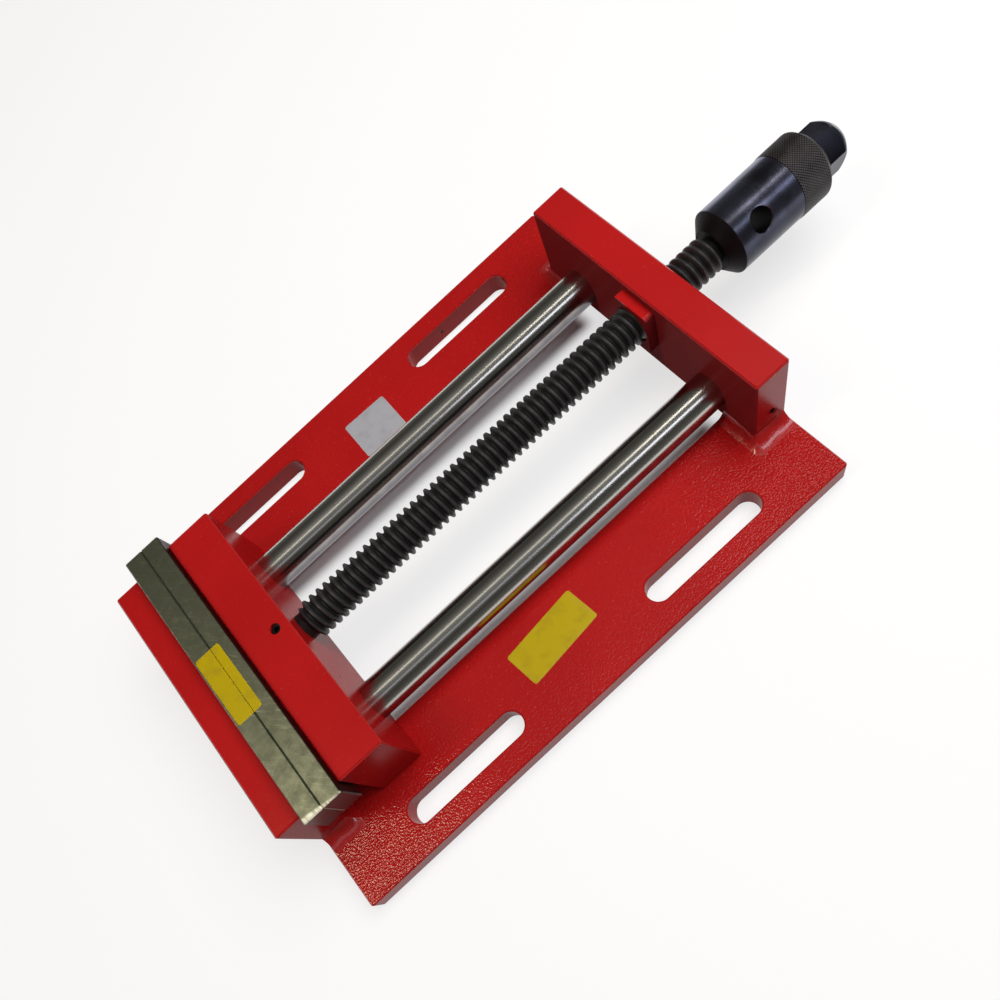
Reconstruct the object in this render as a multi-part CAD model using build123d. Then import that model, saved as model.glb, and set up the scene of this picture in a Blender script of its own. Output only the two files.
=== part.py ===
from build123d import *
import os

os.makedirs("parts", exist_ok=True)

# Welded steel drill press vise, drawn with its jaws closed, in millimetres.
# X runs along the screw towards the handle, Y across the jaws and Z up.
# The origin is at the centre of the four table slots, on the underside of the base.

# Base plates and their slots
base_length = 276.0
base_width = 210.0
base_thickness = 12.0
base_window = 99.0
base_corner_radius = 1.5
base_edge_chamfer = 0.6
slot_width = 12.0
slot_length = 65.0
slot_spacing_x = 140.0
slot_edge_distance = 17.0

# Blocks that stand on the base plates
fixed_block_width = 138.0
fixed_block_thickness = 15.0
fixed_block_height = 42.0
moving_block_width = 140.0
moving_block_thickness = 23.0
moving_block_height = 44.0
rear_block_width = 138.0
rear_block_thickness = 18.0
rear_block_height = 44.0
block_edge_chamfer = 0.8
slide_clearance = 0.1

# Jaw plates and their cap screws
jaw_width = 150.0
jaw_thickness = 9.5
jaw_height = 20.0
jaw_rise = 6.0
jaw_edge_chamfer = 0.5
jaw_screw_offset = 45.0
jaw_screw_drop = 13.0
jaw_screw_diameter = 6.0
jaw_screw_head_diameter = 10.0
jaw_screw_head_height = 6.0
jaw_screw_recess = 0.3
jaw_screw_grip = 10.0
jaw_socket_across_flats = 4.0
jaw_socket_depth = 2.5

# Guide rods and the pins that lock them in the rear block
rod_diameter = 18.0
rod_spacing = 84.0
rod_axis_height = 14.0
rod_front_depth = 11.0
rod_rear_recess = 1.0
rod_end_chamfer = 1.0
rod_pin_diameter = 4.0
rod_pin_engagement = 5.0
rod_pin_recess = 2.0

# Lead screw, its nut, and what holds its nose in the moving jaw
screw_diameter = 18.0
screw_axis_height = 28.0
running_clearance = 0.05
journal_diameter = 13.0
journal_pocket_depth = 17.0
journal_stand_off = 3.0
journal_nose_chamfer = 1.0
thrust_pad_thickness = 2.0
retainer_inset = 6.5
retainer_diameter = 5.0
retainer_tip_diameter = 3.8
retainer_tip_engagement = 2.0
retainer_recess = 1.5
retainer_socket_across_flats = 2.5
retainer_socket_depth = 2.0
nut_side_wall = 0.95
nut_height = 24.0
nut_stand_out = 5.0
nut_edge_radius = 2.0

# Handle hub on the end of the screw
hub_gap = 25.0
hub_diameter = 32.0
hub_nose_diameter = 20.0
hub_nose_length = 5.5
hub_grip_length = 55.5
hub_bevel = 3.5
hex_across_flats = 21.0
hex_length = 14.0
hex_end_chamfer = 4.0
hex_corner_angle = 100.0
spigot_diameter = 13.0
spigot_length = 10.5
bar_hole_diameter = 10.5
bar_hole_web = 2.75
bar_hole_angle = 137.0
bar_hole_chamfer = 0.6

# Fillet welds between the blocks and the base plates
weld_end_reach = 9.0
weld_face_reach = 6.0
weld_height = 4.5
weld_corner_cut = 3.5
weld_shoulder_height = 2.25
weld_shoulder_share = 0.68
weld_crest_share = 0.1

# Places worked out from the sizes above
front_x = -base_length / 2
rear_x = base_length / 2
slot_y = base_width / 2 - slot_edge_distance
fixed_face_x = front_x + fixed_block_thickness
jaw_line_x = fixed_face_x + jaw_thickness
moving_front_x = jaw_line_x + jaw_thickness
moving_rear_x = moving_front_x + moving_block_thickness
rear_face_x = rear_x - rear_block_thickness
fixed_top_z = base_thickness + fixed_block_height
moving_bottom_z = base_thickness + slide_clearance
moving_top_z = base_thickness + moving_block_height
rear_top_z = base_thickness + rear_block_height
jaw_top_z = fixed_top_z + jaw_rise
jaw_screw_z = jaw_top_z - jaw_screw_drop
rod_z = base_thickness + rod_axis_height
rod_front_x = fixed_face_x - rod_front_depth
rod_rear_x = rear_x - rod_rear_recess
rod_pin_x = rear_x - rear_block_thickness / 2
screw_z = base_thickness + screw_axis_height
pocket_radius = journal_diameter / 2 + running_clearance
pocket_floor_x = moving_rear_x - journal_pocket_depth
nose_x = pocket_floor_x + thrust_pad_thickness
thread_start_x = moving_rear_x + journal_stand_off
retainer_x = moving_rear_x - retainer_inset
groove_radius = journal_diameter / 2 - retainer_tip_engagement
nut_bore_radius = screw_diameter / 2 + running_clearance
nut_half_width = nut_bore_radius + nut_side_wall
hub_x = rear_x + hub_gap
bevel_x = hub_x + hub_grip_length
hex_x = bevel_x + hub_bevel
hub_end_x = hex_x + hex_length
hex_corner_radius = hex_across_flats / 3**0.5
bar_hole_x = hub_x + spigot_length + bar_hole_web + bar_hole_diameter / 2
left = 1
right = -1


def cuboid(x_span, y_span, z_span):
    """A box between two X values, two Y values and two Z values."""
    low = [min(span) for span in (x_span, y_span, z_span)]
    size = [abs(span[1] - span[0]) for span in (x_span, y_span, z_span)]
    return Pos(*low) * Box(*size, align=(Align.MIN, Align.MIN, Align.MIN))


def round_along_x(radius, x_start, x_end, y, z):
    """A plain cylinder along X, for a bore or a bar."""
    return Pos(x_start, y, z) * extrude(Plane.YZ * Circle(radius), amount=x_end - x_start)


def round_along_z(radius, z_start, z_end, x, y):
    """A plain cylinder along Z, for a hole or a stud."""
    return Pos(x, y, z_start) * extrude(Circle(radius), amount=z_end - z_start)


def turned(outline, y, z):
    """A body turned about an axis along X, from its (x, radius) outline."""
    return Pos(0, y, z) * revolve(make_face(Polyline(*outline, close=True)), Axis.X)


def hexagon(across_flats):
    """A hexagon in the XY plane, with a corner on the X axis."""
    return RegularPolygon(across_flats / 2, 6, major_radius=False)


def base_plate(side):
    """One side plate with two long slots and broken edges."""
    y_span = (side * base_window / 2, side * base_width / 2)
    plate = cuboid((front_x, rear_x), y_span, (0, base_thickness))
    corners = plate.edges().filter_by(Axis.Z).sort_by(Axis.Y)
    outer_corners = corners[-2:] if side == left else corners[:2]
    plate = fillet(outer_corners, base_corner_radius)
    slot = extrude(SlotOverall(slot_length, slot_width), amount=base_thickness)
    for end in (-1, 1):
        plate -= Pos(end * slot_spacing_x / 2, side * slot_y) * slot
    levels = plate.edges().group_by(Axis.Z)
    return chamfer(levels[0] + levels[-1], base_edge_chamfer)


def fixed_jaw_block():
    """The front block, with blind seats for the rods and tapped holes for the jaw plate."""
    half = fixed_block_width / 2
    block = cuboid((front_x, fixed_face_x), (-half, half), (base_thickness, fixed_top_z))
    block = chamfer(block.edges(), block_edge_chamfer)
    for side in (left, right):
        block -= round_along_x(rod_diameter / 2, rod_front_x, fixed_face_x, side * rod_spacing / 2, rod_z)
        block -= jaw_screw_blank(left, side, jaw_screw_recess)
    return block


def moving_jaw_block():
    """The sliding block, bored for both rods and for the nose of the screw."""
    half = moving_block_width / 2
    block = cuboid((moving_front_x, moving_rear_x), (-half, half), (moving_bottom_z, moving_top_z))
    block = chamfer(block.edges(), block_edge_chamfer)
    rod_bore = rod_diameter / 2 + running_clearance
    for side in (left, right):
        block -= round_along_x(rod_bore, moving_front_x, moving_rear_x, side * rod_spacing / 2, rod_z)
        block -= jaw_screw_blank(right, side, jaw_screw_recess)
    block -= round_along_x(pocket_radius, pocket_floor_x, moving_rear_x, 0, screw_z)
    return block - round_along_z(retainer_diameter / 2, screw_z, moving_top_z, retainer_x, 0)


def rear_block():
    """The rear block, with bores for the rods, a pocket for the nut and a pin hole at each end."""
    half = rear_block_width / 2
    block = cuboid((rear_face_x, rear_x), (-half, half), (base_thickness, rear_top_z))
    block = chamfer(block.edges(), block_edge_chamfer)
    for side in (left, right):
        rod_y = side * rod_spacing / 2
        block -= round_along_x(rod_diameter / 2, rear_face_x, rear_x, rod_y, rod_z)
        block -= rod_pin_blank(side, rod_spacing / 2, half)
    return block - nut_body(rear_face_x)


def nut_body(x_start):
    """A bar with two rounded top edges, from an X value to the rear block's back."""
    z_span = (screw_z - nut_height / 2, screw_z + nut_height / 2)
    body = cuboid((x_start, rear_x), (-nut_half_width, nut_half_width), z_span)
    top_edges = body.edges().filter_by(Axis.X).group_by(Axis.Z)[-1]
    return fillet(top_edges, nut_edge_radius)


def screw_nut():
    """The nut, let into the rear block and standing out of its front face."""
    nut_x = rear_face_x - nut_stand_out
    return nut_body(nut_x) - round_along_x(nut_bore_radius, nut_x, rear_x, 0, screw_z)


def jaw_plate(facing):
    """One jaw plate, its working face on the jaw line, with two counterbored holes."""
    back_x = jaw_line_x - facing * jaw_thickness
    y_span = (-jaw_width / 2, jaw_width / 2)
    plate = cuboid((back_x, jaw_line_x), y_span, (jaw_top_z - jaw_height, jaw_top_z))
    plate = chamfer(plate.edges(), jaw_edge_chamfer)
    for side in (left, right):
        plate -= jaw_screw_blank(facing, side, 0)
    return plate


def jaw_screw_blank(facing, side, head_top):
    """A cap screw without its socket, or its hole, from a depth below the jaw face."""
    head = jaw_screw_head_diameter / 2
    shank = jaw_screw_diameter / 2
    head_bottom = jaw_screw_recess + jaw_screw_head_height
    tip = jaw_thickness + jaw_screw_grip
    depths = ((head_top, 0), (head_top, head), (head_bottom, head), (head_bottom, shank), (tip, shank), (tip, 0))
    outline = [(jaw_line_x - facing * depth, radius) for depth, radius in depths]
    return turned(outline, side * jaw_screw_offset, jaw_screw_z)


def jaw_screws(facing):
    """Both screws of one jaw plate, with hexagon sockets."""
    screws = Part()
    for side in (left, right):
        socket = extrude(Plane.YZ * hexagon(jaw_socket_across_flats), amount=jaw_socket_depth, both=True)
        mouth = Pos(jaw_line_x - facing * jaw_screw_recess, side * jaw_screw_offset, jaw_screw_z)
        screws += jaw_screw_blank(facing, side, jaw_screw_recess) - mouth * socket
    return screws


def rod_pin_blank(side, y_inner, y_outer):
    """A round bar along Y through the rear block's end, for the pin or its hole."""
    bar = extrude(Plane.XZ * Circle(rod_pin_diameter / 2), amount=-(y_outer - y_inner))
    start_y = y_inner if side == left else -y_outer
    return Pos(rod_pin_x, start_y, rod_z) * bar


def rod_pin(side):
    """The pin driven in from the block's end, below the surface, into the rod's side."""
    tip_y = rod_spacing / 2 + rod_diameter / 2 - rod_pin_engagement
    return rod_pin_blank(side, tip_y, rear_block_width / 2 - rod_pin_recess)


def guide_rod(side):
    """A ground rod from its blind seat in the front block through to the rear block."""
    rod = round_along_x(rod_diameter / 2, rod_front_x, rod_rear_x, side * rod_spacing / 2, rod_z)
    rod = chamfer(rod.edges().filter_by(GeomType.CIRCLE), rod_end_chamfer)
    return rod - rod_pin(side)


def lead_screw():
    """The screw at its crest size: nose with a groove, threaded length and hub spigot."""
    journal = journal_diameter / 2
    tip = retainer_tip_diameter / 2 + running_clearance
    outline = [
        (nose_x, 0),
        (nose_x, journal - journal_nose_chamfer),
        (nose_x + journal_nose_chamfer, journal),
        (retainer_x - tip, journal),
        (retainer_x - tip, groove_radius),
        (retainer_x + tip, groove_radius),
        (retainer_x + tip, journal),
        (thread_start_x, journal),
        (thread_start_x + (screw_diameter / 2 - journal), screw_diameter / 2),
        (hub_x, screw_diameter / 2),
        (hub_x, spigot_diameter / 2),
        (hub_x + spigot_length, spigot_diameter / 2),
        (hub_x + spigot_length, 0),
    ]
    return turned(outline, 0, screw_z)


def thrust_pad():
    """The hardened disc on the pocket's floor that takes the push of the screw's nose."""
    return round_along_x(pocket_radius, pocket_floor_x, nose_x, 0, screw_z)


def screw_retainer():
    """The set screw in the moving block whose tip runs in the journal's groove."""
    top_z = moving_top_z - retainer_recess
    body = round_along_z(retainer_diameter / 2, screw_z + pocket_radius, top_z, retainer_x, 0)
    tip_z = screw_z + groove_radius + running_clearance
    body += round_along_z(retainer_tip_diameter / 2, tip_z, top_z, retainer_x, 0)
    socket = extrude(hexagon(retainer_socket_across_flats), amount=retainer_socket_depth)
    return body - Pos(retainer_x, 0, top_z - retainer_socket_depth) * socket


def handle_hub():
    """The hub: coned nose, round grip, bevel, hexagon with a coned end, and a cross hole."""
    radius = hub_diameter / 2
    outline = [
        (hub_x, 0),
        (hub_x, hub_nose_diameter / 2),
        (hub_x + hub_nose_length, radius),
        (bevel_x, radius),
        (hex_x, radius - hub_bevel),
        (hex_x, 0),
    ]
    hub = turned(outline, 0, screw_z)
    flats = extrude(Plane.YZ * hexagon(hex_across_flats), amount=hex_length)
    flats = Pos(hex_x, 0, screw_z) * Rot(hex_corner_angle, 0, 0) * flats
    end_cone_x = hub_end_x - hex_end_chamfer
    cone_outline = [
        (hex_x, 0),
        (hex_x, radius),
        (end_cone_x, hex_corner_radius),
        (hub_end_x, hex_corner_radius - hex_end_chamfer),
        (hub_end_x, 0),
    ]
    hub += flats & turned(cone_outline, 0, screw_z)
    hub -= round_along_x(spigot_diameter / 2, hub_x, hub_x + spigot_length, 0, screw_z)
    hole = extrude(Circle(bar_hole_diameter / 2), amount=radius, both=True)
    hub -= Pos(bar_hole_x, 0, screw_z) * Rot(bar_hole_angle - 90, 0, 0) * hole
    return chamfer(bar_hole_rims(hub), bar_hole_chamfer)


def bar_hole_rims(hub):
    """The two curved edges where the bar hole breaks out of the hub's side."""
    return hub.edges().filter_by(lambda edge: edge.geom_type not in (GeomType.CIRCLE, GeomType.LINE))


def weld_section(far_x, toe_x, toe_y, corner_cut, z):
    """The weld's outline at one height, with a cut corner at its toe."""
    inner_y = base_window / 2 + base_edge_chamfer
    corners = ((far_x, inner_y), (toe_x, inner_y), (toe_x, toe_y), (far_x, toe_y))
    outline = make_face(Polyline(*corners, close=True))
    toe = outline.vertices().sort_by_distance((toe_x, toe_y, 0))[0]
    return Pos(0, 0, z) * chamfer(toe, corner_cut)


def weld(block, end_x, face_x, half_width, side):
    """The convex fillet weld round one end of a block, along its end face and its inner face."""
    facing = 1 if face_x > end_x else -1
    far_x = end_x + facing * block_edge_chamfer
    levels = ((0, 1), (weld_shoulder_height, weld_shoulder_share), (weld_height, weld_crest_share))
    sections = []
    for height, share in levels:
        toe_x = face_x + facing * weld_face_reach * share
        toe_y = half_width + weld_end_reach * share
        z = base_thickness + height
        sections.append(weld_section(far_x, toe_x, toe_y, weld_corner_cut * share, z))
    bead = loft(sections, ruled=True)
    if side == right:
        bead = mirror(bead, Plane.XZ)
    return bead - block


fixed_block = fixed_jaw_block()
back_block = rear_block()
nodes = {
    "base_plate_left": base_plate(left),
    "base_plate_right": base_plate(right),
    "fixed_jaw_block": fixed_block,
    "moving_jaw_block": moving_jaw_block(),
    "rear_block": back_block,
    "fixed_jaw_plate": jaw_plate(left),
    "moving_jaw_plate": jaw_plate(right),
    "fixed_jaw_screws": jaw_screws(left),
    "moving_jaw_screws": jaw_screws(right),
    "guide_rod_left": guide_rod(left),
    "guide_rod_right": guide_rod(right),
    "rod_pin_left": rod_pin(left),
    "rod_pin_right": rod_pin(right),
    "screw_nut": screw_nut(),
    "lead_screw": lead_screw(),
    "thrust_pad": thrust_pad(),
    "screw_retainer": screw_retainer(),
    "handle_hub": handle_hub(),
    "front_weld_left": weld(fixed_block, front_x, fixed_face_x, fixed_block_width / 2, left),
    "front_weld_right": weld(fixed_block, front_x, fixed_face_x, fixed_block_width / 2, right),
    "rear_weld_left": weld(back_block, rear_x, rear_face_x, rear_block_width / 2, left),
    "rear_weld_right": weld(back_block, rear_x, rear_face_x, rear_block_width / 2, right),
}
for name, shape in nodes.items():
    export_step(shape, f"parts/{name}.step")
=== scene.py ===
import bpy
import numpy as np
from mathutils import Matrix, Vector


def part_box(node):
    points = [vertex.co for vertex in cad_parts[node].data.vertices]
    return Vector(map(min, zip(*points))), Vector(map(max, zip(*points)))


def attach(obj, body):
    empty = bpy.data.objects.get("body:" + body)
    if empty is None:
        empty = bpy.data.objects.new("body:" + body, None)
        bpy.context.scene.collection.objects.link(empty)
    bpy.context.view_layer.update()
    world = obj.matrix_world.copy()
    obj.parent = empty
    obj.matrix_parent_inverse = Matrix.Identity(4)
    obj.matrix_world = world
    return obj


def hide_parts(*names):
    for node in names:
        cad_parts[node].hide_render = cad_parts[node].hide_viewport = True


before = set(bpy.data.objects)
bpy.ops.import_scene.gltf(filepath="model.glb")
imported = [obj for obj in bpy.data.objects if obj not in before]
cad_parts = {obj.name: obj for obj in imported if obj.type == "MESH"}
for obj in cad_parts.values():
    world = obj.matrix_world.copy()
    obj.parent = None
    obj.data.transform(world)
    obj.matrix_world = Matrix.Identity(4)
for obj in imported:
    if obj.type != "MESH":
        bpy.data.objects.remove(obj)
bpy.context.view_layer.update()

mm = 0.001
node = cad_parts

# Camera. It stands above the right-hand base plate and looks steeply down at the vise.
# The frame is shifted sideways and up, because the photograph is a crop.
camera_place = (-6.089 * mm, -185.533 * mm, 355.957 * mm)
camera_right = (0.732528, -0.635177, -0.244853)
camera_up = (0.680661, 0.678063, 0.277363)
camera_back = (-0.010148, -0.369839, 0.929041)
camera_focus_in_frames = 0.824776
camera_lens = bpy.data.cameras.new("camera")
camera_lens.lens = camera_focus_in_frames * camera_lens.sensor_width
camera_lens.shift_x = -0.0227
camera_lens.shift_y = 0.0983
camera_lens.clip_start = 0.01
camera = bpy.data.objects.new("camera", camera_lens)
camera_axes = Matrix((camera_right, camera_up, camera_back)).transposed().to_4x4()
camera.matrix_world = Matrix.Translation(camera_place) @ camera_axes
bpy.context.scene.collection.objects.link(camera)
bpy.context.scene.camera = camera
bpy.context.scene.view_settings.view_transform = "Standard"


# Studio lamps. One wide panel gives most of the light and is too soft for metal to mirror.
# Metal mirrors the others: a cool window with its glow, and warm strips over rods and jaws.
def lamp(name, place, aim, length, width, glow, colour, mirrored=True):
    """A soft rectangle with its length along X, turned to shine at the aim.

    The glow is its brightness as a mirror shows it, where 1 is white.
    """
    data = bpy.data.lights.new(name, "AREA")
    data.shape = "RECTANGLE"
    data.size = length
    data.size_y = width
    data.energy = glow * np.pi * length * width
    data.color = colour
    away = (Vector(place) - Vector(aim)).normalized()
    up = away.cross(Vector((1, 0, 0))).normalized()
    axes = Matrix((up.cross(away), up, away)).transposed().to_4x4()
    made = bpy.data.objects.new(name, data)
    made.matrix_world = Matrix.Translation(place) @ axes
    made.visible_camera = False
    made.visible_glossy = mirrored
    bpy.context.scene.collection.objects.link(made)


plain_white = (1.0, 1.0, 1.0)
warm_white = (1.0, 0.96, 0.86)
cool_white = (0.86, 0.89, 1.0)
amber = (1.0, 0.84, 0.60)
origin = (0.0, 0.0, 0.0)
lamp("soft_panel", (0.45, -0.06, 0.94), origin, 0.80, 0.80, 4.9, plain_white, mirrored=False)
lamp("cool_window", (0.70, -0.92, 1.50), (0.05, -0.04, 0.03), 0.90, 0.26, 3.0, cool_white)
lamp("window_glow", (-0.30, -0.92, 1.50), (-0.05, -0.04, 0.03), 1.10, 0.26, 0.5, cool_white)
lamp("dim_strip", (-0.30, 0.01, 1.38), (-0.30, 0.01, 0.0), 1.30, 0.14, 1.15, warm_white)
lamp("bright_strip", (0.72, 0.01, 1.38), (0.72, 0.01, 0.0), 0.70, 0.12, 4.2, warm_white)
lamp("far_strip", (-0.86, 0.16, 1.38), (-0.05, 0.0, 0.0), 0.62, 0.20, 13.0, amber)


# Room and table. The room is a dim warm grey, darkest half-way up and brighter overhead. The
# table is a wide round white top that fades into that grey far from the vise. It throws little
# light back up, and keeps its whole shadow in the narrow gaps between the rods and the plates.
def straight(operation):
    """An operator that adds one Math node with the wrapped value first."""
    return lambda self, other: self.math(operation, self, other)


def reflected(operation):
    """The same operator with the wrapped value second, as in 1 - value."""
    return lambda self, other: self.math(operation, other, self)


class Value:
    """A shader socket in a Python sum: each operator adds one Math node to the same tree."""

    def __init__(self, nodes, socket):
        self.nodes = nodes
        self.socket = socket

    def math(self, operation, *numbers):
        return self.nodes.node("ShaderNodeMath", {"operation": operation}, dict(enumerate(numbers)))

    def __abs__(self):
        return self.math("ABSOLUTE", self)

    def within(self, low, high):
        """0 below the low value, 1 above the high one, smooth between."""
        sockets = {"Value": self, "From Min": low, "From Max": high}
        return self.nodes.node("ShaderNodeMapRange", {"interpolation_type": "SMOOTHSTEP"}, sockets)

    __add__, __radd__ = straight("ADD"), reflected("ADD")
    __sub__, __rsub__ = straight("SUBTRACT"), reflected("SUBTRACT")
    __mul__, __rmul__ = straight("MULTIPLY"), reflected("MULTIPLY")
    __pow__, __rpow__ = straight("POWER"), reflected("POWER")
    __or__, __ror__ = straight("MAXIMUM"), reflected("MAXIMUM")


class Nodes:
    """A node tree written from Python: one method adds any node, the others name common ones."""

    def __init__(self, tree):
        self.tree = tree

    def join(self, value, name, label):
        """Links a value to a socket of a node that the tree already has, or sets it there."""
        socket = self.tree.nodes[name].inputs[label]
        if isinstance(value, Value):
            self.tree.links.new(value.socket, socket)
        else:
            socket.default_value = value

    def node(self, kind, settings, sockets, output=0):
        """Adds a node: its settings are set first, then each socket's value or link."""
        made = self.tree.nodes.new(kind)
        for name, value in settings.items():
            if name == "stops":
                while len(made.color_ramp.elements) < len(value):
                    made.color_ramp.elements.new(0.5)
                for element, (position, colour) in zip(made.color_ramp.elements, value):
                    element.position = position
                    element.color = colour
            else:
                setattr(made, name, value)
        for name, value in sockets.items():
            if isinstance(value, Value):
                self.tree.links.new(value.socket, made.inputs[name])
            else:
                made.inputs[name].default_value = value
        return Value(self, made.outputs[output])

    def axes(self, point):
        """The X, Y and Z of a point."""
        return [self.node("ShaderNodeSeparateXYZ", {}, {0: point}, axis) for axis in range(3)]

    def far_from(self, point, centre):
        """The distance of a point from a fixed centre."""
        ends = {0: point, 1: centre}
        return self.node("ShaderNodeVectorMath", {"operation": "DISTANCE"}, ends, "Value")


world = bpy.data.worlds.new("room")
world.use_nodes = True
bpy.context.scene.world = world
room = Nodes(world.node_tree)
room_direction = room.node("ShaderNodeTexCoord", {}, {}, "Generated")
room_stops = [
    (0.00, (0.135, 0.132, 0.124, 1)),
    (0.30, (0.105, 0.102, 0.095, 1)),
    (0.60, (0.055, 0.053, 0.047, 1)),
    (0.86, (0.100, 0.097, 0.090, 1)),
    (0.95, (0.190, 0.187, 0.180, 1)),
    (1.00, (0.270, 0.270, 0.270, 1)),
]
room_height = room.axes(room_direction)[2]
room_glow = room.node("ShaderNodeValToRGB", {"stops": room_stops}, {"Fac": room_height})
room.join(room_glow, "Background", "Color")


class Finish(Nodes):
    """A procedural material: one Principled shader whose sockets take numbers or values."""

    def __init__(self, name, **constants):
        self.material = bpy.data.materials.new(name)
        self.material.use_nodes = True
        super().__init__(self.material.node_tree)
        for label, value in constants.items():
            self.feed(label.replace("_", " "), value)

    def feed(self, label, value):
        self.join(value, "Principled BSDF", label)

    def place(self, scale=(1, 1, 1), centre=(0, 0, 0), turn=(0, 0, 0)):
        """The point on the object, measured from a centre, turned and stretched."""
        point = self.node("ShaderNodeTexCoord", {}, {}, "Object")
        shifted = {"Vector": point, "Location": centre, "Rotation": turn, "Scale": scale}
        return self.node("ShaderNodeMapping", {"vector_type": "TEXTURE"}, shifted)

    def noise(self, point, scale, detail=2.0, roughness=0.5):
        sockets = {"Vector": point, "Scale": scale, "Detail": detail, "Roughness": roughness}
        return self.node("ShaderNodeTexNoise", {}, sockets)

    def cells(self, point, scale, smoothness=0.5):
        sockets = {"Vector": point, "Scale": scale, "Smoothness": smoothness}
        return self.node("ShaderNodeTexVoronoi", {"feature": "SMOOTH_F1"}, sockets)

    def blend(self, share, first, second):
        """A colour between two colours."""
        sockets = {0: share, 6: first, 7: second}
        return self.node("ShaderNodeMix", {"data_type": "RGBA"}, sockets, 2)

    def bump(self, height, depth):
        """Raises the surface by a height pattern of a given depth in metres."""
        return self.node("ShaderNodeBump", {}, {"Height": height, "Distance": depth})

    def shader(self):
        """The Principled shader, to be mixed with another one."""
        return Value(self, self.tree.nodes["Principled BSDF"].outputs[0])

    def mixed(self, share, first, second):
        """A surface between two shaders."""
        return self.node("ShaderNodeMixShader", {}, {0: share, 1: first, 2: second})

    def dull(self, share, colour, relief):
        """Mixes a share of plain matt colour into the surface."""
        matt = self.node("ShaderNodeBsdfDiffuse", {}, {"Color": colour, "Normal": relief})
        self.join(self.mixed(share, self.shader(), matt), "Material Output", "Surface")


def wear(piece, finish):
    """Gives a piece its finish in every material slot."""
    materials = piece.data.materials
    for index in range(len(materials)):
        materials[index] = finish.material
    if not materials:
        materials.append(finish.material)


floor_radius = 5.0
floor_drop = 0.1 * mm
floor_fade = (0.75, 1.7)
floor_glow_share = 0.7
floor_albedo_seen = 0.9
floor_albedo_lighting = 0.42
gap_inner_edge = (36.0 * mm, 44.0 * mm)
gap_outer_edge = (56.0 * mm, 64.0 * mm)
gap_end_edge = (112.0 * mm, 122.0 * mm)
floor_turn = np.linspace(0, 2 * np.pi, 128, endpoint=False)
floor_x = floor_radius * np.cos(floor_turn)
floor_y = floor_radius * np.sin(floor_turn)
floor_rim = np.stack([floor_x, floor_y, 0 * floor_turn - floor_drop], axis=-1)
floor_mesh = bpy.data.meshes.new("floor")
floor_mesh.from_pydata(floor_rim.tolist(), [], [list(range(len(floor_rim)))])
floor = bpy.data.objects.new("floor", floor_mesh)
bpy.context.scene.collection.objects.link(floor)
white_table = Finish("white_table", Roughness=0.9, Specular_IOR_Level=0.1)
ray_kinds = ("Is Camera Ray", "Is Glossy Ray", "Is Transmission Ray")
table_rays = [white_table.node("ShaderNodeLightPath", {}, {}, kind) for kind in ray_kinds]
table_seen = table_rays[0] | table_rays[1] | table_rays[2]
table_point = white_table.place()
table_near = 1 - white_table.far_from(table_point, origin).within(*floor_fade)
table_albedo = floor_albedo_lighting + (floor_albedo_seen - floor_albedo_lighting) * table_seen
white_table.feed("Base Color", table_albedo)
table_x, table_y = white_table.axes(table_point)[:2]
gap_across = abs(table_y).within(*gap_inner_edge) * (1 - abs(table_y).within(*gap_outer_edge))
table_gap = gap_across * (1 - abs(table_x).within(*gap_end_edge))
table_share = floor_glow_share * table_seen * table_near * (1 - table_gap)
table_white = white_table.node("ShaderNodeEmission", {}, {})
table_gloom = white_table.node("ShaderNodeEmission", {}, {"Color": room_stops[0][1]})
table_top = white_table.mixed(table_share, white_table.shader(), table_white)
table_surface = white_table.mixed(table_near, table_gloom, table_top)
white_table.join(table_surface, "Material Output", "Surface")
wear(floor, white_table)


# Base plates. Two flame-cut steel plates with long slots for table bolts, sprayed with thick
# red enamel. It dries with a leathery skin on the flat tops and stays smooth on the edges.
red_deep = (0.370, 0.0066, 0.0070, 1)
red_bright = (0.410, 0.0080, 0.0082, 1)
red_valley_painted_shade = (0.200, 0.0030, 0.0034, 1)
red_painted_corner_shade = (0.270, 0.024, 0.030, 1)
dust_and_edge_highlight_colour = (0.52, 0.12, 0.10, 1)
pit_and_hole_shade_colour = (0.035, 0.006, 0.006, 1)
peel_cells_per_metre = 1020.0
peel_stray = 0.45 * mm
thick_towards_ends = (50.0 * mm, 125.0 * mm)
top_edge_start = 0.8 * mm
top_edge_end = 0.3 * mm
plate_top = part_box("base_plate_left")[1][2]
rear_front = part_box("rear_block")[0][0]
rear_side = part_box("rear_block")[1][1]
shelter_front = (rear_front - 16.0 * mm, rear_front - 6.0 * mm)
shelter_back = (rear_front + 0.4 * mm, rear_front + 0.8 * mm)
shelter_sides = (rear_side - 1.0 * mm, rear_side + 7.0 * mm)
open_end_front = (rear_front - 0.5 * mm, rear_front + 0.5 * mm)
open_end_face = (-rear_side - 0.3 * mm, -rear_side + 0.1 * mm)
open_end_foot = (plate_top + 0.5 * mm, plate_top + 1.5 * mm)


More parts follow.
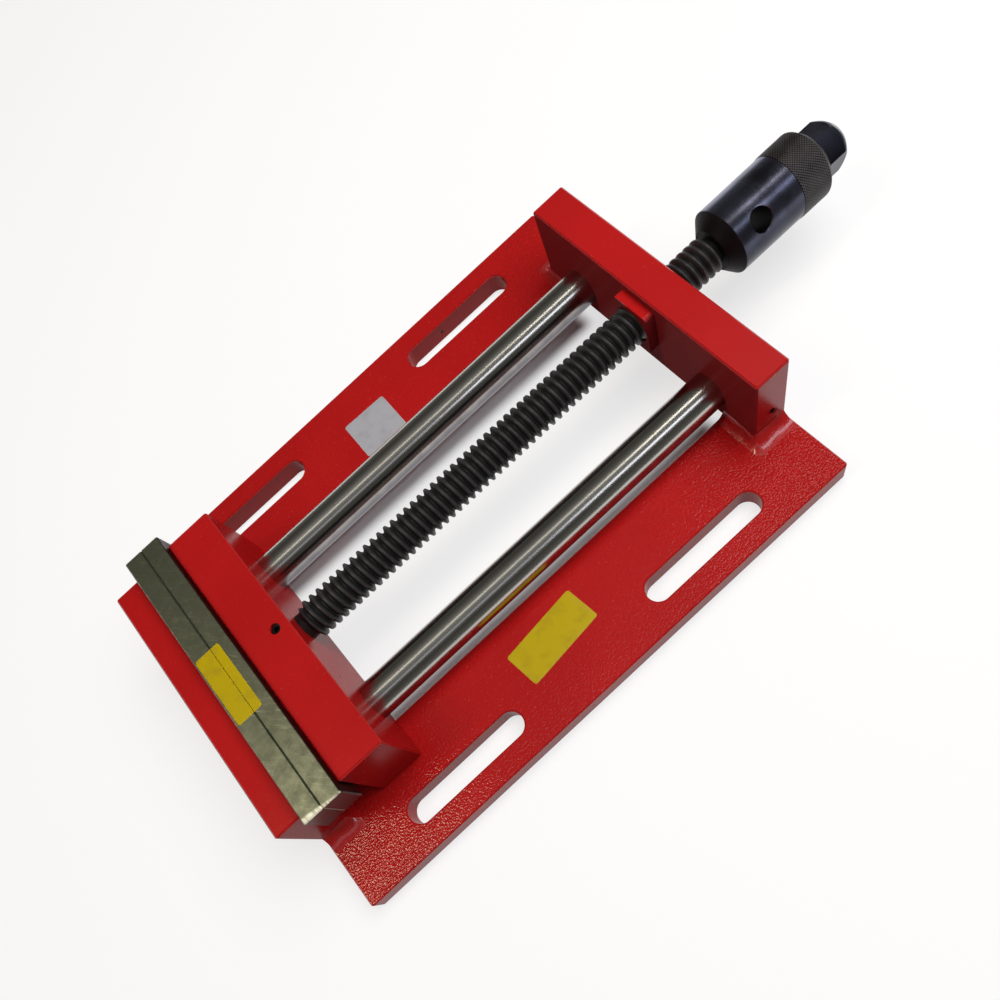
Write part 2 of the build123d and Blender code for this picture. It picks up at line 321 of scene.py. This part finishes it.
def red_enamel(name, peel_depth, gloss, top, shade=0.0, marks=(), **constants):
    """Red enamel whose flat top carries small domes, highest in the middle of each cell.

    The domes are one minus the squared distance from the cell's middle, over a slower wave,
    and grow towards the vise's ends. Cloudy red, valleys darkened as painted shade, a pale
    painted highlight along the top's edge and a few pale dust specks lie in the colour. Each
    mark is a small dark pit with a centre and a radius; in the rear block's pin holes it is
    painted shade. The sides are duller than the top. The corner in front of the rear block is
    dull all over, and its sides there are painted darker and greyer as painted shade.
    """
    finish = Finish(name, IOR=1.5, **constants)
    point = finish.place()
    along, across, above = finish.axes(point)
    on_top = above.within(top - top_edge_start, top - top_edge_end)
    rim = on_top * (1 - on_top)
    stray = finish.node("ShaderNodeTexNoise", {}, {"Vector": point, "Scale": 700.0}, 1)
    crooked_sockets = {0: stray, 1: (peel_stray, peel_stray, peel_stray), 2: point}
    crooked = finish.node("ShaderNodeVectorMath", {"operation": "MULTIPLY_ADD"}, crooked_sockets)
    from_middle = finish.cells(crooked, peel_cells_per_metre, 0.4)
    valley = from_middle * from_middle
    wave = finish.noise(point, 210.0, 2.0)
    cloud = finish.noise(point, 16.0, 4.0).within(0.35, 0.65)
    dust = on_top * finish.noise(point, 1300.0, 0.0).within(0.81, 0.84)
    thickness = 0.6 + 0.7 * abs(along).within(*thick_towards_ends)
    # The valleys between the domes are painted darker as painted shade.
    hollow = shade * on_top * thickness * from_middle.within(0.30, 0.62)
    pits_and_hole_shade = 0.0
    for centre, radius in marks:
        pits_and_hole_shade = pits_and_hole_shade + 1 - finish.far_from(point, centre).within(0.7 * radius, 1.1 * radius)
    sheltered = along.within(*shelter_front) * (1 - along.within(*shelter_back))
    sheltered = sheltered * (1 - abs(across).within(*shelter_sides))
    open_end = along.within(*open_end_front) * (1 - across.within(*open_end_face))
    open_end = open_end * above.within(*open_end_foot)
    red = finish.blend(cloud, red_deep, red_bright)
    # Valleys darkened as painted shade.
    red = finish.blend(hollow, red, red_valley_painted_shade)
    # Pale dust specks on the top, and a pale painted highlight along the top's edge.
    red = finish.blend(0.35 * dust + 0.6 * rim, red, dust_and_edge_highlight_colour)
    # Dark pits, and painted shade inside the rear block's pin holes.
    red = finish.blend(pits_and_hole_shade, red, pit_and_hole_shade_colour)
    # The sides in the corner before the rear block are painted darker and greyer as painted shade.
    red = finish.blend(0.9 * sheltered * (1 - on_top), red, red_painted_corner_shade)
    relief = finish.bump(on_top * thickness * (0.6 * wave - valley) - 2.0 * pits_and_hole_shade, peel_depth)
    finish.feed("Base Color", red)
    finish.feed("Roughness", gloss + 0.05 * wave + 0.08 * (1 - on_top))
    finish.feed("Normal", relief)
    side_share = 0.46 + 0.12 * sheltered - 0.46 * open_end
    finish.dull((1 - on_top) * side_share + 0.36 * sheltered, red, relief)
    return finish


plate_peel = 0.14 * mm
plate_gloss = 0.08
plate_shade = 0.25
slot_drip = ((61.8 * mm, 93.8 * mm, 6.0 * mm), 1.2 * mm)
plate_enamel = red_enamel(
    "red_enamel_plates",
    plate_peel,
    plate_gloss,
    plate_top,
    shade=plate_shade,
    marks=[slot_drip],
    Specular_IOR_Level=0.4,
)
for name in ("base_plate_left", "base_plate_right"):
    wear(node[name], plate_enamel)

# Blocks. The fixed, moving and rear blocks are milled steel bars under the same enamel,
# thinner and smoother than on the plates. The nut is a small bar welded into the rear block.
block_peel = 0.02 * mm
block_gloss = 0.16
block_dent = ((-81.0 * mm, -31.1 * mm, 44.4 * mm), 0.9 * mm)
# Dark marks in the rear block's pin holes are painted shade inside the holes.
pin_hole_shade_marks = [((131.0 * mm, side * 67.4 * mm, 24.0 * mm), 2.4 * mm) for side in (1, -1)]
block_marks_and_shine = {
    "fixed_jaw_block": ([], 0.35),
    "moving_jaw_block": ([block_dent], 0.35),
    "rear_block": (pin_hole_shade_marks, 0.6),
    "screw_nut": ([], 0.35),
}
for name, (marks, shine) in block_marks_and_shine.items():
    enamel = red_enamel(
        f"red_enamel_{name}",
        block_peel,
        block_gloss,
        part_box(name)[1][2],
        marks=marks,
        Specular_IOR_Level=shine,
    )
    wear(node[name], enamel)


# Welds. Each block end is joined to its plate by one fillet bead that runs along the end,
# round the corner and along the inner face. Thick enamel fills it into a smooth glossy hollow.
def skin(name, points, faces, crease=35.0):
    """A mesh object from points and faces, faced outwards by the sign of its volume."""
    mesh = bpy.data.meshes.new(name)
    mesh.from_pydata(points.reshape(-1, 3).tolist(), [], faces)
    mesh.calc_loop_triangles()
    corners = np.empty(len(mesh.loop_triangles) * 3, np.int32)
    mesh.loop_triangles.foreach_get("vertices", corners)
    a, b, c = points.reshape(-1, 3)[corners].reshape(-1, 3, 3).transpose(1, 0, 2)
    if np.einsum("ij,ij->", a, np.cross(b, c)) < 0:
        mesh.flip_normals()
    mesh.shade_smooth()
    mesh.set_sharp_from_angle(angle=np.radians(crease))
    made = bpy.data.objects.new(name, mesh)
    bpy.context.scene.collection.objects.link(made)
    return made


def tube_faces(rows, columns, first=0):
    """Quads that join each closed ring of points to the next."""
    corner = first + np.arange(rows * columns).reshape(rows, columns)
    beside = np.roll(corner, -1, axis=1)
    quads = np.stack([corner[:-1], beside[:-1], beside[1:], corner[1:]], axis=-1)
    return quads.reshape(-1, 4).tolist()


def closed_tube(name, rings, crease=35.0):
    """A skin through rings of points, with a flat cap on the first and the last ring."""
    rows, columns = rings.shape[:2]
    caps = [list(range(columns))[::-1], list(range((rows - 1) * columns, rows * columns))]
    return skin(name, rings, tube_faces(rows, columns) + caps, crease)


window_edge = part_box("base_plate_left")[0][1]
weld_height = 5.2 * mm
weld_end_reach = 8.6 * mm
weld_face_reach = 5.4 * mm
weld_corner_radius = 4.4 * mm
weld_far_inset = 1.0 * mm
weld_near_inset = 0.6 * mm
weld_sink = 0.2 * mm
weld_wall_overlap = 0.4 * mm
weld_swell = 0.05
weld_swell_length = 11.0 * mm


def weld_path(block, facing):
    """The wall line and the toe line of a bead in plan, point by point from end to end.

    The wall line turns the block's corner at one point while the toe line rounds it on an arc.
    """
    low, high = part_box(block)
    near_x, far_x = (high[0], low[0]) if facing > 0 else (low[0], high[0])
    along = np.linspace(0, 1, 30)[:, None]
    turn = np.linspace(0, 1, 18)[1:-1, None] * np.pi / 2
    out_x = np.array([facing, 0.0])
    out_y = np.array([0.0, 1.0])
    corner = np.array([near_x, high[1]])
    far = np.array([far_x + facing * weld_far_inset, high[1]])
    near = np.array([near_x, window_edge + weld_near_inset])
    around = np.repeat(corner[None], len(turn), 0)
    end_wall = far + (corner - far) * along
    face_wall = corner + (near - corner) * along
    arc_x = out_x * (weld_face_reach - weld_corner_radius)
    arc_y = out_y * (weld_end_reach - weld_corner_radius)
    middle = corner + arc_x + arc_y
    first = middle + out_y * weld_corner_radius
    last = middle + out_x * weld_corner_radius
    arc = middle + weld_corner_radius * (np.cos(turn) * out_y + np.sin(turn) * out_x)
    toe_far = far + out_y * weld_end_reach
    toe_near = near + out_x * weld_face_reach
    end_toe = toe_far + (first - toe_far) * along
    face_toe = last + (toe_near - last) * along
    wall = np.concatenate([end_wall, around, face_wall])
    return wall, np.concatenate([end_toe, arc, face_toe])


def weld_roll(name, block, side, facing):
    """A hollow fillet: at each step along the joint its section is a quarter of an ellipse that
    curves in towards the corner, mixed with a straight slope. It swells and sinks a little."""
    wall, toe = weld_path(block, facing)
    run = np.concatenate([[0], np.cumsum(np.linalg.norm(np.diff(toe, axis=0), axis=1))])
    inwards = (wall - toe) / np.linalg.norm(wall - toe, axis=1)[:, None]
    wall = wall + weld_wall_overlap * inwards
    across = np.linspace(0, 1, 14)
    bow = across * np.pi / 2
    swell = 1 + weld_swell * np.sin(run / weld_swell_length * 2 * np.pi + facing)[:, None]
    share = 0.5 * (1 - np.cos(bow)) + 0.5 * across
    rise = 0.5 * (1 - np.sin(bow)) + 0.5 * (1 - across)
    plan = wall[:, None] + (toe - wall)[:, None] * share[None, :, None]
    height = plate_top - weld_sink + (weld_height + weld_sink) * rise[None] * swell
    bead = np.concatenate([plan, height[..., None]], axis=2)
    foot_height = np.full((len(wall), 1), plate_top - weld_sink)
    foot = np.concatenate([wall, foot_height], axis=1)[:, None]
    rings = np.concatenate([bead, foot], axis=1)
    rings[..., 1] *= side
    return closed_tube(name, rings, crease=60.0)


weld_peel = 0.06 * mm
weld_gloss = 0.16
weld_coat = {"Coat_Weight": 1.0, "Coat_Roughness": 0.05}
weld_enamel = red_enamel("red_enamel_welds", weld_peel, weld_gloss, plate_top, **weld_coat)
for block, end, facing in (("fixed_jaw_block", "front", 1), ("rear_block", "rear", -1)):
    for side, side_name in ((1, "left"), (-1, "right")):
        bead = weld_roll(f"{end}_weld_roll_{side_name}", block, side, facing)
        wear(bead, weld_enamel)
        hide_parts(f"{end}_weld_{side_name}")
        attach(bead, "body")


# Jaw plates and their screws. Two bars of tool steel, surface ground and left bare, each held
# by two socket screws. Oil has toned them olive. The corners at their ends are worn, and a
# painted highlight of bright matt cream lies along them.
jaw_olive = (0.400, 0.445, 0.340, 1)
jaw_dark_olive = (0.180, 0.198, 0.150, 1)
jaw_end_brown = (0.10, 0.045, 0.040, 1)
jaw_back_painted_shade = (0.035, 0.028, 0.030, 1)
jaw_wear_and_painted_highlight = (0.95, 0.90, 0.70, 1)
jaw_grinding = (0.3 * mm, 8 * mm, 0.3 * mm)
jaw_worn_least = 0.9 * mm
jaw_worn_more = 2.4 * mm
jaw_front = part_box("fixed_jaw_plate")[0][0]
jaw_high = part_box("fixed_jaw_plate")[1]
jaw_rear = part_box("moving_jaw_plate")[1][0]


def ground_steel(name, colour, dark, stroke):
    """Bare ground steel: fine grinding strokes, cross scratches, and clouds of oil."""
    finish = Finish(name, Metallic=1.0)
    strokes = finish.noise(finish.place(stroke), 1.0, 4.0, 0.7)
    scratches = 0.0
    for turn in (0.5, -0.8):
        scratch_place = finish.place((9 * mm, 0.25 * mm, 9 * mm), turn=(0, 0, turn))
        scratches = finish.noise(scratch_place, 1.0, 2.0, 0.6).within(0.60, 0.73) | scratches
    oil = finish.noise(finish.place(), 180.0, 5.0, 0.6).within(0.3, 0.7)
    tone = finish.blend(oil * 0.6 + strokes * 0.5 - 0.7 * scratches, colour, dark)
    finish.feed("Base Color", tone)
    finish.feed("Roughness", 0.28 + 0.14 * oil + 0.10 * strokes)
    relief = finish.bump(strokes - 0.5 * scratches, 0.02 * mm)
    finish.feed("Normal", relief)
    return finish, tone, relief


jaw_steel, jaw_tone, jaw_relief = ground_steel(
    "jaw_steel", jaw_olive, jaw_dark_olive, jaw_grinding
)
jaw_x, jaw_y, jaw_z = jaw_steel.axes(jaw_steel.place())
jaw_out = abs(jaw_y)
jaw_end = jaw_out.within(jaw_high[1] - 0.35 * mm, jaw_high[1] - 0.15 * mm)
jaw_back = jaw_x.within(jaw_rear - 0.4 * mm, jaw_rear - 0.15 * mm)
jaw_across = jaw_x.within(jaw_front - 1.0 * mm, jaw_rear + 1.0 * mm)
jaw_right = jaw_y.within(0.0, -1.0 * mm)
jaw_worn_width = jaw_worn_least + jaw_worn_more * (1 - jaw_across) * jaw_right
jaw_near_end = (jaw_out - jaw_high[1] + jaw_worn_width).within(0.0, 1.2 * mm)
jaw_highlight_edge = jaw_near_end * jaw_z.within(jaw_high[2] - 0.6 * mm, jaw_high[2] - 0.4 * mm)
jaw_rub_place = jaw_steel.place((1.5 * mm, 5.0 * mm, 5.0 * mm))
jaw_rub = jaw_steel.noise(jaw_rub_place, 1.0, 3.0, 0.6).within(0.35, 0.6)
jaw_shade = jaw_steel.blend(jaw_end, jaw_tone, jaw_end_brown)
# The moving plate's back face, which shows above its block, is painted near-black as painted shade.
jaw_shade = jaw_steel.blend(jaw_back, jaw_shade, jaw_back_painted_shade)
jaw_steel.feed("Base Color", jaw_shade)
# The worn corners at the ends carry a painted highlight of bright matt cream.
jaw_steel.dull(jaw_highlight_edge * (0.35 + 0.6 * jaw_rub), jaw_wear_and_painted_highlight, jaw_relief)
for name in ("fixed_jaw_plate", "moving_jaw_plate"):
    wear(node[name], jaw_steel)


def black_oxide(name, colour, gloss):
    """Oiled black oxide: a near-black metal with cloudy sheen and fine grain."""
    finish = Finish(name, Metallic=1.0)
    point = finish.place()
    cloud = finish.noise(point, 90.0, 3.0)
    grain = finish.noise(point, 2600.0, 1.0)
    darker = tuple(0.6 * c for c in colour[:3]) + (1,)
    finish.feed("Base Color", finish.blend(cloud, colour, darker))
    finish.feed("Roughness", gloss + 0.15 * cloud)
    finish.feed("Normal", finish.bump(grain, 0.01 * mm))
    return finish


fastener_oxide = black_oxide("fastener_oxide", (0.06, 0.06, 0.062, 1), 0.3)
for name in ("fixed_jaw_screws", "moving_jaw_screws", "screw_retainer"):
    wear(node[name], fastener_oxide)

# Guide rods. Centreless-ground and polished bars, pressed into the fixed block and pinned in
# the rear block. They carry fine rings from grinding and long faint rubs from the moving jaw,
# and their undersides, below a wavy line, are painted dark as painted shade.
rod_bright = (0.60, 0.585, 0.54, 1)
rod_rubbed = (0.46, 0.45, 0.42, 1)
rod_underside_painted_shade = (0.17, 0.155, 0.175, 1)
rod_shade_edge = (24.5 * mm, 30.5 * mm)
rod_steel = Finish("rod_steel", Metallic=1.0)
rod_rings = rod_steel.noise(rod_steel.place((0.4 * mm, 60 * mm, 60 * mm)), 1.0, 1.0, 0.5)
rod_rubs = rod_steel.noise(rod_steel.place((90 * mm, 1.2 * mm, 1.2 * mm)), 1.0, 3.0, 0.6)
rod_point = rod_steel.place()
rod_z = rod_steel.axes(rod_point)[2]
rod_shade_line = rod_z + 3.0 * mm * (rod_steel.noise(rod_point, 160.0, 2.0) - 0.5)
# The undersides below a wavy line are painted dark as painted shade.
rod_under = 1 - rod_shade_line.within(*rod_shade_edge)
rod_tone = rod_steel.blend(rod_rubs, rod_bright, rod_rubbed)
rod_steel.feed("Base Color", rod_steel.blend(rod_under, rod_tone, rod_underside_painted_shade))
rod_steel.feed("Roughness", 0.16 + 0.06 * rod_rubs + 0.01 * rod_rings)
rod_steel.feed("Normal", rod_steel.bump(rod_rings, 0.0003 * mm))
for name in ("guide_rod_left", "guide_rod_right"):
    wear(node[name], rod_steel)

# Rod pins and thrust pad. Hardened plain steel pieces, the pins driven below the surface of
# the rear block's ends and the pad lying in the bottom of the screw's pocket.
pin_light = (0.42, 0.42, 0.43, 1)
pin_dark = (0.28, 0.28, 0.28, 1)
pin_grain = (0.3 * mm, 0.3 * mm, 0.3 * mm)
pin_steel = ground_steel("pin_steel", pin_light, pin_dark, pin_grain)[0]
for name in ("rod_pin_left", "rod_pin_right", "thrust_pad"):
    wear(node[name], pin_steel)

# Lead screw. A steep trapezoidal thread, 18 mm across with 4 mm pitch, blackened and oiled,
# with a plain nose that turns in the moving block and a spigot pressed into the hub.
screw_axis_z = 40.0 * mm
screw_pitch = 4.0 * mm
screw_columns = 72
crest_radius = 9.0 * mm
journal_radius = 6.5 * mm
# One pitch of the thread's profile: millimetres along it, and millimetres below its crest.
crest = [(0.0, 0.0)]
falling = [(0.36, 0.0), (0.52, 0.04), (0.66, 0.18), (1.48, 1.74), (1.66, 1.92), (1.82, 1.98)]
root = [(2.0, 2.0)]
rising = [(screw_pitch / mm - x, depth) for x, depth in falling[::-1]]
thread_profile = np.array(crest + falling + root + rising) * mm
thread_grid_start = -82.0 * mm
thread_start = -78.0 * mm
thread_turns = 61
thread_run_in = 1.6 * mm
nose_chamfer = [(-96, 5.5), (-95, 6.5)]
nose_groove = [(-89.45, 6.5), (-89.45, 4.5), (-85.55, 4.5), (-85.55, 6.5)]
nose_profile = np.array(nose_chamfer + nose_groove + [(-82.1, 6.5)]) * mm
spigot_profile = np.array([(166.3, 6.5), (173.5, 6.5)]) * mm


def around_x(x, radius, turn):
    """Points round the screw's axis, from their X, their radius and their share of a turn."""
    angle = 2 * np.pi * turn
    y = radius * np.cos(angle)
    z = screw_axis_z + radius * np.sin(angle)
    return np.stack([x + 0 * angle, y, z], axis=-1)


def threaded_screw(name):
    """The thread is its profile carried along a helix: each column of points stands one step
    further round and one share of the pitch further along, so the last column joins the first
    one profile later. Turned rings close the two ends."""
    columns = screw_columns
    steps = len(thread_profile)
    rows = thread_turns * steps + 1
    turn = np.arange(columns) / columns
    index = np.arange(rows)
    along = (index // steps) * screw_pitch + thread_profile[index % steps, 0]
    depth = thread_profile[index % steps, 1][:, None]
    x = thread_grid_start + along[:, None] + screw_pitch * turn[None]
    thread_end = thread_grid_start + thread_turns * screw_pitch
    fade = np.clip((x - thread_start) / thread_run_in, 0, 1)
    fade = fade * np.clip((thread_end - x) / thread_run_in, 0, 1)
    radius = journal_radius + fade * (crest_radius - depth - journal_radius)
    grid = around_x(x, radius, turn[None])
    nose = around_x(nose_profile[:, :1], nose_profile[:, 1:], turn[None])
    spigot = around_x(spigot_profile[:, :1], spigot_profile[:, 1:], turn[None])
    first = len(nose_profile) * columns
    corner = first + np.arange(rows * columns).reshape(rows, columns)
    first_column = corner[:, 0]
    last_column = corner[:, -1]
    last = first + rows * columns
    nose_ring = np.arange(first - columns, first)
    spigot_ring = np.arange(last, last + columns)
    quads = [
        [corner[:-1, :-1], corner[:-1, 1:], corner[1:, 1:], corner[1:, :-1]],
        [
            last_column[: -1 - steps],
            first_column[steps:-1],
            first_column[steps + 1 :],
            last_column[1:-steps],
        ],
        [nose_ring[:-1], nose_ring[1:], corner[0, 1:], corner[0, :-1]],
        [corner[-1, :-1], corner[-1, 1:], spigot_ring[1:], spigot_ring[:-1]],
    ]
    start_gore = [nose_ring[-1], nose_ring[0], *first_column[: steps + 1], last_column[0]]
    end_gore = [*last_column[-1 - steps :], spigot_ring[-1], spigot_ring[0], first_column[-1]]
    faces = [face for group in quads for face in np.stack(group, axis=-1).reshape(-1, 4).tolist()]
    faces += [[int(i) for i in start_gore], [int(i) for i in end_gore]]
    faces += tube_faces(len(nose_profile), columns)
    faces += tube_faces(len(spigot_profile), columns, last)
    faces += [list(range(columns))[::-1], list(range(last + columns, last + 2 * columns))]
    points = np.concatenate([nose.reshape(-1, 3), grid.reshape(-1, 3), spigot.reshape(-1, 3)])
    return skin(name, points, faces, crease=50.0)


def turned_place(finish):
    """A point measured from the screw's axis, its X and its height there, and its radius."""
    point = finish.place(centre=(0, 0, screw_axis_z))
    x, y, z = finish.axes(point)
    return point, x, z, (y * y + z * z) ** 0.5


screw = threaded_screw("threaded_screw")
screw_black = (0.010, 0.0096, 0.0096, 1)
screw_grey = (0.042, 0.040, 0.042, 1)
screw_crest_edge = (7.0 * mm, 8.8 * mm)
screw_oxide = Finish("screw_oxide", Metallic=0.35)
screw_point, _, _, screw_radius = turned_place(screw_oxide)
screw_crest = screw_radius.within(*screw_crest_edge)
screw_cloud = screw_oxide.noise(screw_point, 120.0, 3.0)
# Crests and upper flanks are lighter than the roots: partly rubbed oxide, partly painted shade in
# the grooves.
screw_rub_and_groove_shade = screw_crest * (0.5 + 0.5 * screw_cloud)
screw_oxide.feed("Base Color", screw_oxide.blend(screw_rub_and_groove_shade, screw_black, screw_grey))
screw_oxide.feed("Roughness", 0.42 - 0.10 * screw_crest + 0.15 * screw_cloud)
screw_oxide.feed("Normal", screw_oxide.bump(screw_oxide.noise(screw_point, 1400.0, 2.0), 0.02 * mm))
wear(screw, screw_oxide)
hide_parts("lead_screw")
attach(screw, "screw")

# Handle hub. A turned and blued sleeve pressed on the screw's end, with a cross hole for a
# bar, a hexagon for a wrench, and a band of fine diamond knurling in front of the hexagon.
# The bluing is cloudy. Its underside is painted darker as painted shade, and the cross hole
# and the coned nose are painted near-black as painted shade.
hub_blue = (0.20, 0.21, 0.31, 1)
hub_dark_blue = (0.09, 0.095, 0.13, 1)
hub_underside_painted_shade = (0.026, 0.027, 0.038, 1)
hub_hole_and_nose_painted_shade = (0.012, 0.010, 0.009, 1)
hub_nose_edge = (168.2 * mm, 168.6 * mm)
hub_grip_start = (168.0 * mm, 169.0 * mm)
hub_grip_end = (221.0 * mm, 222.0 * mm)
hub_bore_edge = (15.2 * mm, 15.6 * mm)
hub_shade_edge = (3.0 * mm, 12.0 * mm)
hub_bluing = Finish("hub_bluing", Metallic=1.0)
hub_point, hub_x, hub_z, hub_radius = turned_place(hub_bluing)
hub_grip = hub_x.within(*hub_grip_start) * (1 - hub_x.within(*hub_grip_end))
hub_bore = hub_grip * (1 - hub_radius.within(*hub_bore_edge))
hub_nose = 1 - hub_x.within(*hub_nose_edge)
hub_rings = hub_bluing.noise(hub_bluing.place((0.2 * mm, 40 * mm, 40 * mm)), 1.0, 3.0, 0.7)
hub_cloud = hub_bluing.noise(hub_point, 70.0, 4.0)
hub_shade_line = hub_z + 4.0 * mm * (hub_cloud - 0.5)
# The underside, below a wavy line, is painted darker as painted shade.
hub_under = 1 - hub_shade_line.within(*hub_shade_edge)
hub_tone = hub_bluing.blend(hub_cloud.within(0.35, 0.65), hub_blue, hub_dark_blue)
hub_tone = hub_bluing.blend(0.85 * hub_under, hub_tone, hub_underside_painted_shade)
# The cross hole and the coned nose are painted near-black as painted shade.
hub_tone = hub_bluing.blend(hub_bore | 0.85 * hub_nose, hub_tone, hub_hole_and_nose_painted_shade)
hub_roughness = 0.18 + 0.12 * hub_cloud + 0.06 * hub_rings + 0.3 * (hub_bore | hub_nose)
hub_bluing.feed("Base Color", hub_tone)
hub_bluing.feed("Roughness", hub_roughness)
hub_bluing.feed("Normal", hub_bluing.bump(hub_rings, 0.008 * mm))
wear(node["handle_hub"], hub_bluing)

knurl_start = 203.0 * mm
knurl_bevel = 218.5 * mm
knurl_end = 221.7 * mm
knurl_root = 16.02 * mm
knurl_depth = 0.28 * mm
knurl_wall = 0.4 * mm
knurl_run_in = 0.5 * mm
knurl_starts = 72
knurl_columns = knurl_starts * 6
knurl_step = 0.24 * mm


def knurled_band(name):
    """A sleeve whose height is the product of two crossing triangle waves, one turning left and
    one turning right, so that small pyramids stand between the grooves."""
    along = np.arange(knurl_start, knurl_end, knurl_step)
    base = knurl_root - np.clip(along - knurl_bevel, 0, None)
    turn = np.arange(knurl_columns) / knurl_columns
    lead = along[:, None] / (2 * np.pi * knurl_root)
    ridge = [np.abs(((turn[None] + way * lead) * knurl_starts) % 1 * 2 - 1) for way in (1, -1)]
    edge = np.clip((along - knurl_start) / knurl_run_in, 0, 1)[:, None]
    height = knurl_depth * np.clip(1.5 * np.minimum(*ridge), 0, 1) * edge
    outside = around_x(along[:, None], base[:, None] + height, turn[None])
    inside_x = np.array([knurl_end, knurl_start])[:, None]
    inside_radius = np.array([base[-1], knurl_root])[:, None] - knurl_wall
    inside = around_x(inside_x, inside_radius, turn[None])
    rings = np.concatenate([outside, inside, outside[:1]])[:-1]
    faces = tube_faces(len(rings), knurl_columns)
    last = (len(rings) - 1) * knurl_columns
    ring = np.arange(knurl_columns)
    beside = np.roll(ring, -1)
    faces += np.stack([last + ring, last + beside, beside, ring], axis=-1).tolist()
    return skin(name, rings, faces, crease=180.0)


knurl = knurled_band("knurled_band")
knurl_black = (0.018, 0.017, 0.017, 1)
knurl_worn_grey = (0.30, 0.28, 0.29, 1)
knurl_oxide = Finish("knurl_oxide", Metallic=1.0)
knurl_point, knurl_x, knurl_z, knurl_radius = turned_place(knurl_oxide)
knurl_height = knurl_radius + ((knurl_x - knurl_bevel) | 0.0)
knurl_tip = knurl_height.within(knurl_root + 0.03 * mm, knurl_root + 0.20 * mm)
knurl_wear = knurl_oxide.noise(knurl_point, 260.0, 3.0)
knurl_underside_shade = 1 - knurl_z.within(*hub_shade_edge)
# The tips are worn grey, and painted darker on the underside as painted shade.
knurl_bright = knurl_tip * (0.5 + 0.6 * knurl_wear) * (1 - 0.75 * knurl_underside_shade)
knurl_oxide.feed("Base Color", knurl_oxide.blend(knurl_bright, knurl_black, knurl_worn_grey))
knurl_oxide.feed("Roughness", 0.30 + 0.15 * knurl_wear)
knurl_oxide.feed("Normal", knurl_oxide.bump(knurl_oxide.noise(knurl_point, 2600.0, 1.0), 0.01 * mm))
wear(knurl, knurl_oxide)
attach(knurl, "screw")


# Stickers. Blank vinyl labels with rounded corners: one long yellow one across both jaw
# plates, slit along the jaw line, one yellow and one silver-grey one on the base plates.
label_corner = 1.3 * mm


def label(name, centre, size, degrees, body, finish, slot, low=-1.0, high=1.0):
    """A thin rounded rectangle: rings of its outline shrink to the middle, and the edge is
    rolled down to the metal. It may be trimmed by a low and a high X."""
    angle = np.linspace(0, 2 * np.pi, 96, endpoint=False)
    round_the_clock = np.stack([np.cos(angle), np.sin(angle)], axis=-1)
    quadrant = np.sign(np.stack([np.cos(angle + 1e-6), np.sin(angle + 1e-6)], axis=-1))
    outline = quadrant * (np.array(size) / 2 - label_corner) + label_corner * round_the_clock
    turn = np.radians(degrees)
    spin = np.array([[np.cos(turn), -np.sin(turn)], [np.sin(turn), np.cos(turn)]])
    outline = outline @ spin.T + np.array(centre[:2])
    outline[:, 0] = np.clip(outline[:, 0], low, high)
    middle = outline.mean(axis=0)
    share = np.array([0.999, 1.0, 0.995, 0.97, 0.85, 0.6, 0.3, 0.02])
    lift = np.array([0.0, 0.02, 0.04, 0.05, 0.05, 0.05, 0.05, 0.05]) * mm
    plan = middle + (outline - middle)[None] * share[:, None, None]
    height = np.broadcast_to(centre[2] + lift[:, None, None], plan.shape[:2] + (1,))
    made = closed_tube(name, np.concatenate([plan, height], axis=2), crease=60.0)
    wear(made, finish)
    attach(made, body)


def vinyl(name, colour, shade):
    """Slightly wavy sticker vinyl with a soft sheen and a little grime."""
    finish = Finish(name, Specular_IOR_Level=0.3)
    point = finish.place()
    grime = finish.noise(point, 150.0, 5.0).within(0.45, 0.8)
    finish.feed("Base Color", finish.blend(grime, colour, shade))
    finish.feed("Roughness", 0.35 + 0.15 * grime)
    finish.feed("Normal", finish.bump(finish.noise(point, 160.0, 2.0), 0.12 * mm))
    return finish


yellow_vinyl = vinyl("yellow_vinyl", (0.42, 0.31, 0.001, 1), (0.34, 0.245, 0.003, 1))
silver_vinyl = vinyl("silver_vinyl", (0.35, 0.35, 0.38, 1), (0.29, 0.29, 0.31, 1))
jaw_line, _, jaw_top = jaw_high
half_slit = 0.1 * mm
yellow = (yellow_vinyl, "yellow_label")
silver = (silver_vinyl, "silver_label")
jaw_label = ((-115.55 * mm, -6.4 * mm, jaw_top), (36.2 * mm, 13.0 * mm), 90.4)
yellow_label = ((-4.45 * mm, -71.3 * mm, plate_top), (40.6 * mm, 18.3 * mm), 6.0)
silver_label = ((2.95 * mm, 74.25 * mm, plate_top), (25.2 * mm, 23.0 * mm), -2.0)
label("jaw_label_fixed_half", *jaw_label, "body", *yellow, high=jaw_line - half_slit)
label("jaw_label_moving_half", *jaw_label, "moving_jaw", *yellow, low=jaw_line + half_slit)
label("plate_label_yellow", *yellow_label, "body", *yellow)
label("plate_label_silver", *silver_label, "body", *silver)
